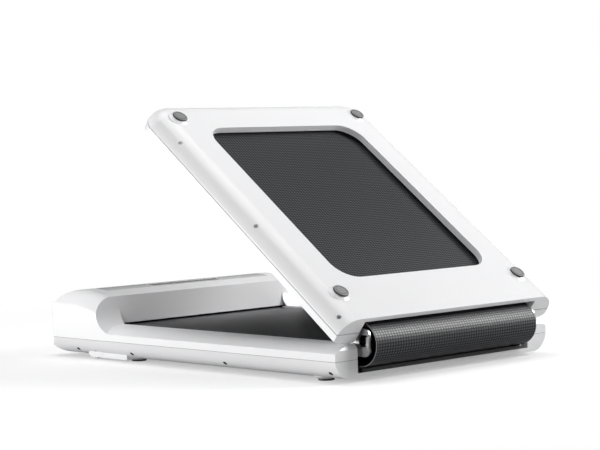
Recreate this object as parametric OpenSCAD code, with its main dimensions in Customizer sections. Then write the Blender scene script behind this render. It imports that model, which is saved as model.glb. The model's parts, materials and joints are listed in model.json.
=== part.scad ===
// Folding walking pad, standing half open on its four front feet.
// Both halves are drawn flat in their own frame: x across, y away from the hinge end,
// z = 0 at the top of the side rails. The rear half is then laid over the front one.

/* [Whole pad] */
// Width across both side rails
body_w = 547; // [520:1:600]
// Length of the front half, hinge end to motor end
front_len = 795; // [785:1:860]
// Length of the rear half, hinge end to tail
rear_len = 628; // [560:1:632]
// Height of a half from its underside to the top of its rails
body_h = 58; // [57:0.5:62]
// Height of the rubber feet below the underside
foot_h = 6.5; // [5:0.5:9]
// Angle between the two halves as they stand
open_angle = 37; // [32:1:50]

/* [Mouldings] */
// Wall of the plastic mouldings
wall = 3; // [2:0.5:4]
// Depth of the seam between upper and lower moulding, below the rail top
split_drop = 27; // [24:1:30]
// Width of one side rail
rail_w = 60.5; // [56:0.5:66]
// Width of the rounded shoulder on each rail
shoulder_w = 51.5; // [48:0.5:54]
// Radius of the shoulder
shoulder_r = 106; // [95:1:130]
// Radius of the curved lower side
belly_r = 37.6; // [36:0.1:40]
// Plan radius at the motor end's corners
nose_corner_r = 24; // [12:1:30]
// Depth of the lip under the hinge end
end_lip = 8; // [5:1:10]
// Width of each rail beside the opening at the hinge end
mouth_side = 52.5; // [49.5:0.5:53.5]

/* [Motor housing] */
// Length of the housing, from the wall behind the belt to the motor end
hood_len = 150; // [135:1:155]
// Height of the housing's crest above the rails
hood_top = 64.5; // [60:0.5:70]
// Height of its back edge above the rails
hood_back = 53.5; // [48:0.5:58]
// Distance of the crest from the motor end
crest_in = 70; // [60:1:80]
// Radius of the nose in front of the crest
nose_r = 70; // [66:1:80]
// Radius of the housing's long upper edges
hood_edge_r = 40; // [30:1:44]
// Radius of the scoop from rail to housing
scoop_r = 47; // [40:1:50]
// Distance of the inlaid top strip from each side
strip_side = 61.5; // [54:0.5:83]
// Length of the inlaid top strip, front to back
strip_len = 40; // [30:1:44]
// Thickness of the inlaid top strip
strip_t = 2; // [1.5:0.5:3]
// Width of the display window
display_w = 180; // [120:1:240]
// Front to back size of the display window
display_len = 24; // [16:1:28]

/* [Hinge] */
// Distance of each hinge axis from its end face and from its rail top
axis_in = 13; // [12:0.5:15]
// Gap between the halves when they are folded flat together or opened out
half_gap = 2; // [1.5:0.5:3]
// Diameter of the hinge pins
pin_d = 10; // [8:1:11]
// Radial clearance between pin and bush
pin_clear = 0.05; // [0.02:0.01:0.1]
// Wall of the plain bushes
bush_wall = 1.5; // [1:0.5:2]
// Thickness of the link plates
link_t = 4; // [3:0.5:5]
// Radius of the link plates' round ends
link_r = 9.5; // [9:0.5:11]
// How far the link plates reach outwards from the line of their axes
link_bow = 36; // [30:1:36]
// Width of the link plates' outer strip
link_rim = 4.5; // [4:0.5:7]
// Thickness of the friction washers
washer_t = 1; // [0.8:0.1:1.2]
// Thickness of the hinge brackets
bracket_t = 4; // [3:0.5:4.5]
// Diameter of the rod that ties the two link plates
tie_rod_d = 10; // [8:1:11]

/* [Belt and rollers] */
// Gap between the walking belt's edge and each rail
belt_edge_gap = 5.5; // [4.5:0.5:15]
// Thickness of the walking belt
belt_t = 1.6; // [1.2:0.1:2]
// Depth of the walking surface below the rails
belt_drop = 3; // [2:0.5:5]
// Depth of the returning belt's outer face below the rails
return_drop = 41; // [39:0.5:44]
// Outer radius of the belt's loop around the open hinge
loop_r = 38; // [36:0.5:40]
// Inner radius of the belt's fold between the decks
fold_r = 7.5; // [6.5:0.5:8.5]
// Distance of the drive roller's axis behind the housing wall
drive_in = 23; // [21:1:30]
// Distance of the tail roller's axis from the tail
tail_in = 46; // [42:1:56]
// Diameter of the roller shafts
shaft_d = 12; // [10:1:14]
// Outer diameter of the roller bearings
bearing_d = 28; // [26:1:30]
// Width of the roller bearings
bearing_w = 8; // [7:1:9]
// Radial clearance of shafts in their seats
shaft_clear = 0.05; // [0.02:0.01:0.1]

/* [Decks and frame] */
// Thickness of the running decks
deck_t = 12; // [10:0.5:13]
// Distance of each deck from the hinge end
deck_in = 32; // [30:1:40]
// Thickness of the rubber mounts under the decks
mount_t = 4.4; // [3:0.1:5]
// Width of the side tubes
tube_w = 25; // [20:1:26]
// Height of the side tubes
tube_h = 32; // [30:1:32]
// Wall of the steel tubes
tube_wall = 1.5; // [1:0.5:2]
// Height of the cross tubes
cross_h = 14; // [12:1:15]
// Length of the cross tubes along the pad
cross_len = 22; // [18:1:30]

/* [Underside] */
// Width of the underside beside the opening in each lower cover
window_side = 82.5; // [80.5:0.5:100]
// Distance of the openings from the hinge end
window_in = 102; // [95:1:115]
// Distance of the front half's opening from the motor end
front_window_out = 255; // [250:1:315]
// Distance of the rear half's opening from the tail
rear_window_out = 88; // [84:1:150]
// Corner radius of the openings
window_r = 44; // [20:1:60]
// Depth of the rims around the openings
window_rim = 12; // [8:1:14]
// Distance of the feet from the pad's sides
foot_side = 44.5; // [41.5:0.5:51.5]
// Distance of the first pair of feet from the hinge end
foot_in = 67.5; // [60:0.5:75]
// Distance of the front half's second pair of feet from the motor end
front_foot_out = 224.5; // [218:0.5:236]
// Distance of the rear half's second pair of feet from the tail
rear_foot_out = 57.5; // [54:0.5:70]
// Distance of the transport wheels from the pad's sides
wheel_side = 25.5; // [23.5:0.5:27.5]
// Distance of the transport wheels from the second pair of feet
wheel_in = 92; // [88:1:96]
// Diameter of the rubber feet
foot_d = 28; // [24:1:34]
// Spread of the cone round each foot
foot_flare = 6; // [4:0.5:8]
// Radius of the transport wheels
wheel_r = 15; // [13:0.5:16]
// Width of the transport wheels
wheel_w = 14; // [12:1:18]
// Diameter of the wheel pins
wheel_pin_d = 6; // [5:0.5:7]
// Diameter of the cover screws
screw_d = 4; // [3:0.5:5]

/* [Drive] */
// Radius of the motor
motor_r = 35; // [30:1:36]
// Length of the motor
motor_len = 105; // [90:1:115]
// Distance of the motor's axis from the motor end
motor_in = 57; // [54:1:60]
// Height of the motor's axis above the rails
motor_up = -6; // [-8:1:0]
// Radius of the pulley on the drive roller
big_pulley_r = 27; // [24:1:27]
// Radius of the pulley on the motor
small_pulley_r = 10; // [9:0.5:12]
// Thickness of the ribbed drive belt
ribbed_t = 2.5; // [2:0.5:3]
// Width of the ribbed drive belt
ribbed_w = 10; // [8:1:12]
// Distance of the mains inlet's middle from the pad's side
inlet_side = 123.5; // [100:0.5:130]
// Width of the mains inlet
inlet_w = 28; // [26:1:32]
// Height of the mains inlet
inlet_h = 20; // [18:1:20]
// Width of the rocker switch
switch_w = 28; // [24:1:32]
// Height of the rocker switch
switch_h = 19; // [15:1:20]

/* [Hidden] */
$fn = 96;

// Paint
white_shell = [0.93, 0.93, 0.94];
belt_black = [0.13, 0.13, 0.14];
rubber_grey = [0.22, 0.23, 0.24];
steel = [0.62, 0.64, 0.66];
dark_steel = [0.2, 0.2, 0.22];
board_green = [0.1, 0.32, 0.2];

// Section of a half
half_w = body_w / 2;
rail_in = half_w - rail_w;
mouth_half = half_w - mouth_side;
belt_w = 2 * (rail_in - belt_edge_gap);
shoulder_x = half_w - shoulder_w;
belly_z = belly_r - body_h;
belly_x = half_w - sqrt(pow(belly_r, 2) - pow(split_drop + belly_z, 2));
floor_z = body_h + foot_h;

// Hinge: the front link axis is folded to its stop, so the rear axis stands right above it
link_len = 2 * axis_in + half_gap;
end_round = link_len / 2 - 0.3;
rear_y0 = axis_in - axis_in * cos(open_angle) + axis_in * sin(open_angle);
rear_z0 = axis_in + half_gap - axis_in * sin(open_angle) - axis_in * cos(open_angle);
bush_r = pin_d / 2 + pin_clear + bush_wall;
link_x = rail_in - 2;
washer_x = link_x + link_t;
bracket_x = washer_x + washer_t;
tube_x = bracket_x + bracket_t;
pin_head_t = 1.6;
pin_head_r = pin_d / 2 + 3;

// Housing: the arc of its back runs from the wall to the crest
hood_y = front_len - hood_len;
crest_y = front_len - crest_in;
back_r = (pow(crest_y - hood_y, 2) + pow(hood_top - hood_back, 2)) / (2 * (hood_top - hood_back));
strip_w = body_w - 2 * strip_side;
strip_y = crest_y - strip_len / 2 - 1;
belt_gap = 4;
display_drop = 12;
board_t = 1.6;
lamp_pitch = 30;
lamp_size = [20, 14, 4];
post_d = 5;

// Belt path: circles that touch both halves' belt faces from outside and from inside the fold
roller_r = (return_drop - belt_drop) / 2 - belt_t;
roller_z = -(belt_drop + belt_t + roller_r);
loop_z = loop_r - return_drop;
loop_y = rear_y0 + ((loop_z - rear_z0) * cos(open_angle) + loop_z) / sin(open_angle);
loop_rear_y = (loop_y - rear_y0) * cos(open_angle) + (loop_z - rear_z0) * sin(open_angle);
fold_z = fold_r - belt_drop;
fold_y = rear_y0 + ((fold_z - rear_z0) * cos(open_angle) + fold_z) / sin(open_angle);
fold_rear_y = (fold_y - rear_y0) * cos(open_angle) + (fold_z - rear_z0) * sin(open_angle);

// The pad's origin is on the floor, in the middle of its footprint
rocker_proud = 3.2;
centre_y = (front_len + rocker_proud + loop_y - loop_r) / 2;

// Decks, frame and rollers
deck_z = -(belt_drop + belt_t);
deck_half = belt_w / 2 + 1;
cross_z = deck_z - deck_t - mount_t;
tube_low = -48;
tube_z = tube_low + tube_h;
drive_y = hood_y + drive_in;
tail_y = rear_len - tail_in;
front_deck_end = drive_y - roller_r - 8;
rear_deck_end = tail_y - roller_r - 8;
front_tube_end = drive_y - big_pulley_r - ribbed_t - 3;
rear_tube_end = tail_y + 18;
side_plate_x = tube_x - bearing_w;
roller_half = belt_w / 2 + 1;
bolt_d = 6;
bolt_head_h = 6;
first_cross = deck_in + 68;
last_cross_in = 40;
front_cross = [first_cross, 330, front_deck_end - last_cross_in];
rear_cross = [first_cross, 300, rear_deck_end - last_cross_in];
pulley_x = tube_x + 2;
pulley_w = ribbed_w + 3;

// Drive
motor_y = front_len - motor_in;
motor_x = side_plate_x - motor_len - 12;
motor_shaft_r = 5;
tray_z = motor_up - motor_r - 4;
tray_t = 4;
tray_front = front_len - 33;

// Underside
foot_boss_drop = 3;
foot_pad_t = foot_h - foot_boss_drop;
foot_x = half_w - foot_side;
front_foot_ys = [foot_in, front_len - front_foot_out];
rear_foot_ys = [foot_in, rear_len - rear_foot_out];
wheel_x = half_w - wheel_side;
wheel_y = front_foot_ys[1] + wheel_in;
wheel_gap = 1;
wheel_wall = 2.5;
wheel_z = -(floor_z - 1.5 - wheel_r);
window_w = body_w - 2 * window_side;
front_window_end = front_len - front_window_out;
rear_window_end = rear_len - rear_window_out;
guide_t = 6;
guide_gap = 1.2;
screw_head_r = screw_d + 0.2;
screw_angle = 46;
screw_len = 25;
first_screw = 22;
front_screw_ys = [first_screw, 287, front_foot_ys[1] - 21.5, front_len - 82];
rear_screw_ys = [first_screw, 267, rear_len - 118];
screw_sink = 4;

// Shaping helpers

// Extrudes an x-z outline from y0 to y1
module along_y(y0, y1) {
    translate([0, y1, 0])
        rotate([90, 0, 0])
            linear_extrude(y1 - y0) children();
}

// Extrudes a y-z outline from x0 to x1
module along_x(x0, x1) {
    translate([x0, 0, 0])
        rotate([90, 0, 90])
            linear_extrude(x1 - x0) children();
}

// A cylinder that lies across the pad
module rod(x0, x1, r, y, z) {
    along_x(x0, x1) translate([y, z]) circle(r);
}

// Draws its children on both sides
module both_sides() {
    children();
    mirror([1, 0, 0]) children();
}

module rounded_rect(w, l, r) {
    square([w - 2 * r, l], center = true);
    square([w, l - 2 * r], center = true);
    for (sx = [-1, 1], sy = [-1, 1])
        translate([sx * (w / 2 - r), sy * (l / 2 - r)]) circle(r);
}

// Steel tube open at both ends, along y
module tube_along(x0, y0, y1, z_top, w, h) {
    along_y(y0, y1)
        translate([x0, z_top - h])
            difference() {
                square([w, h]);
                translate([tube_wall, tube_wall]) square([w - 2 * tube_wall, h - 2 * tube_wall]);
            }
}

// Steel tube open at both ends, across the pad
module tube_across(x0, x1, y0, z_top, l, h) {
    along_x(x0, x1)
        translate([y0, z_top - h])
            difference() {
                square([l, h]);
                translate([tube_wall, tube_wall]) square([l - 2 * tube_wall, h - 2 * tube_wall]);
            }
}

// Lays the rear half over the front one, folded about both hinge axes
module at_rear() {
    translate([0, axis_in, link_len - axis_in])
        rotate([open_angle, 0, 0])
            mirror([0, 0, 1])
                translate([0, -axis_in, axis_in]) children();
}

// Stands the pad on the floor with the origin in the middle of its footprint
module stand() {
    translate([0, -centre_y, floor_z]) children();
}

// Points on an arc
function arc(cx, cy, r, a0, a1, n) =
    [for (i = [0:n]) let (a = a0 + (a1 - a0) * i / n) [cx + r * cos(a), cy + r * sin(a)]];

// Edge of a half in section, from the start of the shoulder round the belly to the underside
function edge_points(inset) = concat(
    arc(0, -shoulder_r, shoulder_r - inset, 90, acos((shoulder_w - inset) / (shoulder_r - inset)), 8),
    belly_points(belly_x - shoulder_x, inset)
);

// The belly's arc about cx, from the seam down
function belly_points(cx, inset) =
    arc(cx, belly_z, belly_r - inset, -asin((split_drop + belly_z) / (belly_r - inset)), -90, 14);

// Section of a half from its middle line outwards
module edge_section(inset) {
    polygon(concat([[0, -body_h + inset]], edge_points(inset)));
}

// Section of a whole half
module half_section(inset) {
    edge = edge_points(inset);
    polygon(concat(
        [for (p = edge) [p[0] + shoulder_x, p[1]]],
        [for (i = [len(edge) - 1:-1:0]) [-edge[i][0] - shoulder_x, edge[i][1]]]
    ));
}

// Upper corner at the hinge end, rounded about the hinge axis so that the halves pass each other
function end_points(inset) = arc(axis_in, -axis_in, end_round - inset, 90, 180, 10);

// Outer or inner form of the rear half, its section carried round the tail's corners
module rear_form(inset) {
    corner_y = rear_len - shoulder_w;
    intersection() {
        union() {
            along_y(inset, corner_y) half_section(inset);
            translate([0, corner_y, 0])
                along_x(-shoulder_x, shoulder_x) edge_section(inset);
            both_sides()
                translate([shoulder_x, corner_y, 0])
                    rotate_extrude(angle = 90) edge_section(inset);
        }
        along_x(-half_w - 1, half_w + 1)
            polygon(concat(
                end_points(inset),
                [[axis_in - end_round + inset, -body_h - 1], [rear_len + 1, -body_h - 1]],
                [[rear_len + 1, 1], [axis_in, 1]]
            ));
    }
}

// Upright block with the motor end's plan corners
module front_plan(inset) {
    translate([0, front_len / 2 - 50, -body_h - 1])
        linear_extrude(body_h + hood_top + 2)
            rounded_rect(body_w - 2 * inset, front_len + 100 - 2 * inset, nose_corner_r - inset);
}

// Outer or inner form of the front half without its housing
module front_body(inset) {
    intersection() {
        along_y(inset, front_len + 1) half_section(inset);
        front_plan(inset);
        along_x(-half_w - 1, half_w + 1)
            polygon(concat(
                end_points(inset),
                [[axis_in - end_round + inset, -body_h + inset]],
                reversed(belly_points(front_len - half_w + belly_x, inset)),
                [[front_len - inset, 1], [axis_in, 1]]
            ));
    }
}

function reversed(points) = [for (i = [len(points) - 1:-1:0]) points[i]];

// Drop of the shoulder at a distance from where it starts
function shoulder_drop(x) = shoulder_r - sqrt(pow(shoulder_r, 2) - pow(x, 2));

// Housing seen from the front, with x as the first coordinate and height above z0 as the second
function hood_points(inset, z0) = concat(
    [[half_w - inset, -split_drop - 1 - z0]],
    arc(half_w - hood_edge_r, hood_top - hood_edge_r - z0, hood_edge_r - inset, 0, 90, 12),
    arc(hood_edge_r - half_w, hood_top - hood_edge_r - z0, hood_edge_r - inset, 90, 180, 12),
    [[inset - half_w, -split_drop - 1 - z0]]
);

// Behind the crest the housing's section is swept along the arc of its back, in front of it
// the nose is cut from the same section
module hood_form(inset) {
    scoop_z = scoop_r - shoulder_drop(shoulder_w);
    scoop_y = hood_y - scoop_r;
    intersection() {
        translate([0, crest_y, hood_top - back_r])
            rotate([180, 0, 0])
                rotate([0, 90, 0])
                    rotate_extrude(angle = 30, $fn = 240)
                        polygon([for (p = hood_points(inset, hood_top - back_r)) [p[1], p[0]]]);
        along_x(-half_w - 1, half_w + 1)
            polygon(concat(
                [[crest_y, hood_top + 1], [hood_y + inset, hood_top + 1]],
                arc(scoop_y, scoop_z, scoop_r + inset, 0, -90, 12),
                [[scoop_y, -split_drop - 1], [crest_y, -split_drop - 1]]
            ));
    }
    intersection() {
        along_y(crest_y, front_len) polygon(hood_points(inset, 0));
        front_plan(inset);
        along_x(-half_w - 1, half_w + 1)
            polygon(concat(
                [[crest_y, -split_drop - 1], [front_len - inset, -split_drop - 1]],
                arc(crest_y, hood_top - nose_r, nose_r - inset, 0, 90, 16)
            ));
    }
}

// The housing's top between two depths, over a length of its back
module hood_skin(depth_out, depth_in, w, y_mid, l) {
    along_x(-w / 2, w / 2)
        intersection() {
            translate([crest_y, hood_top - back_r])
                difference() {
                    circle(back_r - depth_out, $fn = 720);
                    circle(back_r - depth_in, $fn = 720);
                }
            translate([y_mid - l / 2, 0]) square([l, 2 * hood_top]);
        }
}

// Everything below the seam
module below_seam() {
    translate([-half_w - 1, -1, -body_h - 20])
        cube([body_w + 2, front_len + 2, body_h + 20 - split_drop]);
}

// The channel in which the belt runs between the rails, wider at the hinge end
module belt_channel(end_y) {
    z0 = -split_drop - 1;
    h = split_drop + hood_top + 2;
    translate([-rail_in, -1, z0]) cube([2 * rail_in, end_y + 1, h]);
    translate([-mouth_half, -1, z0]) cube([2 * mouth_half, 2 * axis_in + 1, h]);
}

// Front half: mouldings

// Skirts beside the belt and walls beside the hinge, under the rails of either half
module rail_skirts(end_y) {
    skirt_h = split_drop / 2;
    both_sides() {
        translate([rail_in, 2 * axis_in, -skirt_h])
            cube([wall, end_y - 2 * axis_in, skirt_h - 1]);
        along_x(mouth_half, mouth_half + wall)
            intersection() {
                polygon(concat(end_points(0.1), [[axis_in - end_round, -split_drop], [40, -split_drop], [40, 0]]));
                translate([0.1, -split_drop]) square([2 * axis_in + wall, split_drop - 0.1]);
            }
    }
}

// Upper moulding: both rails, the scoops and the motor housing in one shell
module front_upper_shell() {
    color(white_shell) stand() difference() {
        union() {
            difference() {
                union() {
                    front_body(0);
                    hood_form(0);
                }
                front_body(wall);
                hood_form(wall);
            }
            rail_skirts(hood_y);
            // wall behind the belt, straight down between the scoops
            translate([-rail_in - wall, hood_y, belt_gap - belt_drop])
                cube([2 * (rail_in + wall), wall, scoop_r]);
        }
        below_seam();
        belt_channel(hood_y);
        translate([-rail_in, hood_y - 1, -split_drop - 1])
            cube([2 * rail_in, wall + 2, split_drop + 1 - belt_drop + belt_gap]);
        strip_pocket(0.2);
        display_hole();
        inlet_hole();
        switch_hole();
    }
}

module strip_pocket(clear) {
    hood_skin(-1, strip_t, strip_w + 2 * clear, strip_y, strip_len + 2 * clear);
}

module display_hole() {
    hood_skin(strip_t - 1, wall + 1, display_w - 6, strip_y, display_len - 6);
}

// Glossy strip let into the housing's top
module top_strip() {
    color([0.97, 0.97, 0.97]) stand() difference() {
        hood_skin(0, strip_t, strip_w, strip_y, strip_len);
        hood_skin(-1, strip_t + 1, display_w, strip_y, display_len);
    }
}

// Smoked window of the display
module display_window() {
    color([0.35, 0.36, 0.38]) stand()
        hood_skin(0.4, strip_t, display_w - 0.3, strip_y, display_len - 0.3);
}

// Display board on two posts under the window
module display_board() {
    board_z = hood_top - display_drop;
    post_x = display_w / 2 + post_d - 1;
    color(board_green) stand() {
        translate([-post_x - post_d, strip_y - display_len / 2, board_z])
            cube([2 * (post_x + post_d), display_len, board_t]);
        for (i = [-1.5:1.5])
            translate([i * lamp_pitch - lamp_size[0] / 2, strip_y - lamp_size[1] / 2, board_z + board_t])
                cube(lamp_size);
        both_sides()
            translate([post_x, strip_y, board_z + board_t])
                cylinder(h = display_drop - wall - 0.9 - board_t, d = post_d);
    }
}

// Foot bosses that stand against the side tubes, and screw bosses beside them
module cover_bosses(foot_ys, screw_ys) {
    foot_r = foot_d / 2;
    both_sides() {
        for (y = foot_ys)
            translate([foot_x, y, 0])
                rotate_extrude()
                    polygon([
                        [0, tube_low], [foot_r + 1.5 * foot_flare, tube_low],
                        [foot_r + 1.5 * foot_flare, -body_h + foot_flare], [foot_r + foot_flare, -body_h],
                        [foot_r + 0.5, -body_h - foot_boss_drop], [0, -body_h - foot_boss_drop]
                    ]);
        for (y = screw_ys)
            intersection() {
                at_screw(y) translate([0, 0, 1]) cylinder(h = 30, r = screw_head_r + 2);
                translate([tube_x + tube_w + 0.3, y - 10, -body_h]) cube([40, 20, body_h]);
            }
    }
}

// Places its children at a cover screw, z pointing into the half
module at_screw(y) {
    translate([belly_x + belly_r * cos(screw_angle), y, belly_z - belly_r * sin(screw_angle)])
        rotate([0, screw_angle - 90, 0]) children();
}

module screw_bores(screw_ys) {
    both_sides()
        for (y = screw_ys)
            at_screw(y) {
                translate([0, 0, -6]) cylinder(h = 6 + screw_sink, r = screw_head_r);
                cylinder(h = screw_sink + screw_len + 5, d = screw_d + 0.2);
            }
}

module cover_screws(screw_ys) {
    both_sides()
        for (y = screw_ys)
            at_screw(y)
                difference() {
                    union() {
                        translate([0, 0, screw_sink - 2.5]) cylinder(h = 2.5, r = screw_head_r - 0.2);
                        translate([0, 0, screw_sink - 1]) cylinder(h = screw_len, d = screw_d);
                    }
                    translate([0, 0, screw_sink - 2.6]) cylinder(h = 1.6, r = screw_d / 3, $fn = 6);
                }
}

// Opening that shows the returning belt, with its inward rim
module window_cut(end_y) {
    translate([0, (window_in + end_y) / 2, -body_h - 5])
        linear_extrude(window_rim + 6) rounded_rect(window_w, end_y - window_in, window_r);
}

module window_flange(end_y) {
    l = end_y - window_in;
    translate([0, (window_in + end_y) / 2, -body_h])
        linear_extrude(window_rim)
            difference() {
                rounded_rect(window_w + 2 * wall, l + 2 * wall, window_r + wall);
                rounded_rect(window_w, l, window_r);
            }
}

// Lip below the belt and walls beside it at the hinge end
module mouth_frame() {
    translate([-mouth_half - wall, 0, -body_h]) cube([2 * (mouth_half + wall), wall, end_lip]);
    both_sides()
        translate([mouth_half, 0, -body_h]) cube([wall, 2 * axis_in + wall, body_h - split_drop]);
}

// Opens the hinge end above the lip
module mouth_cut() {
    translate([-mouth_half, -1, -body_h + end_lip]) cube([2 * mouth_half, wall + 2, body_h]);
}

// Fairing that runs from the foot over the transport wheel
module wheel_fairing() {
    y0 = front_foot_ys[1];
    y1 = wheel_y + wheel_r + 10;
    x0 = foot_x - foot_d / 2;
    x1 = wheel_x + wheel_w / 2 + wheel_gap + 2;
    both_sides()
        intersection() {
            along_y(y0, y1)
                polygon([
                    [x0, -body_h - foot_boss_drop], [x1, -body_h - foot_boss_drop],
                    [x1 + 3, -body_h + 9.5], [x1 - 6, -body_h + 8], [x1 - 14, -body_h + 4],
                    [x0, -body_h + 4]
                ]);
            along_x(x0, x1)
                polygon([
                    [y0, -body_h + 9], [y0, -body_h - foot_boss_drop],
                    [y1 - 8, -body_h - foot_boss_drop], [y1, -body_h + 2], [y1, -body_h + 9]
                ]);
        }
}

// A box round each transport wheel
module wheel_box(side, end, top) {
    both_sides()
        translate([wheel_x - wheel_w / 2 - side, wheel_y - wheel_r - end, -body_h - 10])
            cube([wheel_w + 2 * side, 2 * (wheel_r + end), body_h + 10 + wheel_z + wheel_r + top]);
}

module front_lower_cover() {
    color(white_shell) stand() difference() {
        union() {
            difference() {
                intersection() {
                    front_body(0);
                    below_seam();
                }
                front_body(wall);
            }
            mouth_frame();
            cover_bosses(front_foot_ys, front_screw_ys);
            window_flange(front_window_end);
            wheel_fairing();
            intersection() {
                wheel_box(wheel_gap + wheel_wall, wheel_gap + 4, wheel_gap + 4);
                translate([0, wheel_y, 0]) cube([body_w, 100, 2 * body_h], center = true);
                translate([-half_w, wheel_y - 50, -body_h + 1]) cube([body_w, 100, body_h]);
            }
        }
        mouth_cut();
        window_cut(front_window_end);
        wheel_box(wheel_gap, 2 * wheel_gap, 2 * wheel_gap);
        both_sides() rod(wheel_x - wheel_w, wheel_x + wheel_w, wheel_pin_d / 2 + shaft_clear, wheel_y, wheel_z);
        screw_bores(front_screw_ys);
    }
}

module feet(ys) {
    both_sides()
        for (y = ys)
            translate([foot_x, y, -body_h - foot_boss_drop])
                rotate([180, 0, 0])
                    rotate_extrude()
                        polygon([
                            [0, 0], [foot_d / 2, 0], [foot_d / 2, foot_pad_t - 1],
                            [foot_d / 2 - 1, foot_pad_t], [0, foot_pad_t]
                        ]);
}

module front_feet() {
    color(rubber_grey) stand() feet(front_foot_ys);
}

module front_cover_screws() {
    color(steel) stand() cover_screws(front_screw_ys);
}

// Front half: frame, deck and hinge

// Side tubes, each with a tab for the screw beside the hinge
module side_tubes(y1) {
    tab_y = 12;
    tab_t = 3;
    both_sides() {
        tube_along(tube_x, deck_in, y1, tube_z, tube_w, tube_h);
        translate([tube_x + tube_w - tab_t, tab_y, tube_low + 4])
            cube([tab_t, deck_in - tab_y + 5, tube_h - 8]);
    }
}

// Tapped holes for the cover screws
module screw_holes(ys) {
    both_sides()
        for (y = ys)
            at_screw(y) translate([0, 0, 15]) cylinder(h = 15, d = screw_d + 0.2);
}

module cross_tubes(ys) {
    for (y = ys) tube_across(-tube_x, tube_x, y, cross_z, cross_len, cross_h);
}

// Side plates carry the drive roller and the motor tray and are welded to the side tubes
module front_frame() {
    plate_back = front_tube_end - 30;
    tray_y = motor_y - motor_r;
    bracket_l = 20;
    color(dark_steel) stand() difference() {
        union() {
            side_tubes(front_tube_end);
            cross_tubes(front_cross);
            both_sides() {
                along_x(side_plate_x, tube_x)
                    polygon([
                        [plate_back, tube_z], [hood_y + 4, tube_z], [hood_y + 10, 0],
                        [motor_y + 12, 8], [tray_front, -20], [tray_front, tray_z - tray_t],
                        [plate_back, tube_low]
                    ]);
                // bracket for the last cover screw
                along_y(tray_y, tray_y + bracket_l)
                    polygon([
                        [tube_x - 1, tray_z - tray_t], [tube_x + tube_w, tray_z - tray_t],
                        [tube_x + tube_w, -24], [tube_x + tube_w - 3, -24],
                        [tube_x + tube_w - 3, tray_z], [tube_x - 1, tray_z]
                    ]);
            }
            translate([-side_plate_x, tray_y, tray_z - tray_t])
                cube([2 * side_plate_x, tray_front - tray_y, tray_t]);
        }
        rod(-half_w, half_w, bearing_d / 2 + shaft_clear, drive_y, roller_z);
        rod(0, half_w, motor_shaft_r + 4, motor_y, motor_up);
        screw_holes(front_screw_ys);
    }
}

module deck(y1) {
    along_x(-deck_half, deck_half)
        translate([0, deck_z - deck_t])
            difference() {
                translate([deck_in, 0]) square([y1 - deck_in, deck_t]);
                // eased edges under the belt
                for (e = [[deck_in, 0], [y1, 90]])
                    translate([e[0], deck_t]) rotate(e[1]) ease();
            }
}

// The waste of a rounded corner, to be cut from an upper left corner
module ease() {
    r = 4;
    difference() {
        translate([-1, -r]) square([r + 1, r + 1]);
        translate([r, -r]) circle(r);
    }
}

module deck_mounts(ys) {
    both_sides()
        for (y = ys)
            translate([deck_half - 30, y + cross_len / 2, cross_z])
                cylinder(h = mount_t, d = 18);
}

module front_deck() {
    color([0.5, 0.36, 0.24]) stand() deck(front_deck_end);
}

module front_deck_mounts() {
    color(rubber_grey) stand() deck_mounts(front_cross);
}

// Steel cheek bolted inside the side tube, with the hinge axis in its nose
module hinge_brackets() {
    both_sides()
        difference() {
            along_x(bracket_x, bracket_x + bracket_t)
                union() {
                    translate([axis_in, -axis_in]) circle(link_r);
                    polygon([
                        [axis_in, -axis_in + link_r], [axis_in + 16, -axis_in + link_r - 4],
                        [deck_in + 58, tube_z - 2], [deck_in + 58, tube_low + 2],
                        [axis_in + 10, tube_low + 2], [axis_in - link_r, -axis_in - 8],
                        [axis_in - link_r, -axis_in]
                    ]);
                }
            rod(0, half_w, pin_d / 2 + shaft_clear, axis_in, -axis_in);
        }
}

// Shouldered pins: a flat head beside the belt, a shank through link and bracket
module hinge_pins() {
    both_sides() {
        rod(link_x - pin_head_t, link_x - 0.1, pin_head_r, axis_in, -axis_in);
        rod(link_x - 0.2, tube_x, pin_d / 2, axis_in, -axis_in);
    }
}

module hinge_washers() {
    both_sides()
        difference() {
            rod(washer_x, washer_x + washer_t, link_r - 0.5, axis_in, -axis_in);
            rod(0, half_w, pin_d / 2 + 0.15, axis_in, -axis_in);
        }
}

module front_hinge_brackets() {
    color(steel) stand() hinge_brackets();
}

module front_hinge_pins() {
    color([0.75, 0.76, 0.78]) stand() hinge_pins();
}

module front_hinge_washers() {
    color([0.35, 0.3, 0.2]) stand() hinge_washers();
}

// Front half: belt, rollers and drive

// Belt of one half from the side: walking run, wrap round the roller, returning run
module belt_side(top_y, return_y, roller_y) {
    translate([top_y, -belt_drop - belt_t]) square([roller_y - top_y, belt_t]);
    translate([return_y, -return_drop]) square([roller_y - return_y, belt_t]);
    translate([roller_y, roller_z])
        intersection() {
            difference() {
                circle(roller_r + belt_t);
                circle(roller_r);
            }
            translate([0, -roller_r - 5]) square([roller_r + 5, 2 * roller_r + 10]);
        }
}

module front_belt() {
    color(belt_black) stand()
        along_x(-belt_w / 2, belt_w / 2) belt_side(fold_y, loop_y, drive_y);
}

// Round-topped bar behind the lip that keeps the returning belt off it
module front_belt_guide() {
    top_r = guide_t / 2;
    half = rail_in - belt_edge_gap;
    color(dark_steel) stand()
        along_x(-half, half)
            polygon(concat(
                [[wall, -body_h + wall], [wall + guide_t, -body_h + wall]],
                arc(wall + top_r, -return_drop - guide_gap - top_r, top_r, 0, 180, 12)
            ));
}

// Roller tube with end discs; the drive roller turns with its shaft
module drive_roller() {
    color(steel) stand() {
        difference() {
            rod(-roller_half, roller_half, roller_r - 0.3, drive_y, roller_z);
            rod(-roller_half + 10, roller_half - 10, roller_r - 2.3, drive_y, roller_z);
            both_sides() rod(roller_half - 3, roller_half + 1, roller_r - 3, drive_y, roller_z);
        }
        rod(-side_plate_x - bearing_w, pulley_x + pulley_w + 2, shaft_d / 2, drive_y, roller_z);
    }
}

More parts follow.
